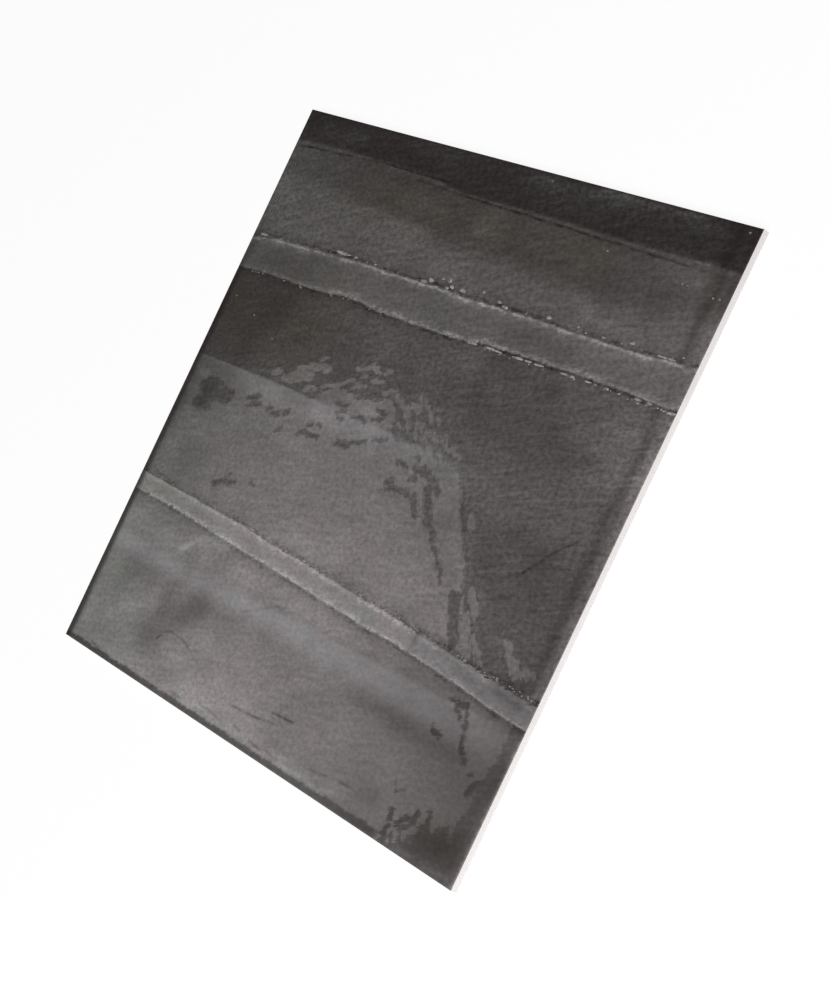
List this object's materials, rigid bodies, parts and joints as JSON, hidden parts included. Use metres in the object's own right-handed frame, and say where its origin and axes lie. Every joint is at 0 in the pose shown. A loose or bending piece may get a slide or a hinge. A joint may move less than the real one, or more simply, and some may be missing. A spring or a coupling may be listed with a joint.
{
  "type": "ceramic tile",
  "caption": "Square glazed porcelain tile with a worn dark-metal face, low raised bands across it, a pale ground edge and a pocketed back that keys into adhesive.",
  "frame": {"origin": "middle of the back, on the plane of the back's ribs", "axes": "+Z out of the glazed face, +X along the raised bands, +Y towards the wider band"},
  "size_m": [0.6, 0.6, 0.0093],
  "materials": {
    "glazed_porcelain": "satin"
  },
  "bodies": {
    "root": {"tile": "glazed_porcelain"}
  },
  "joints": []
}
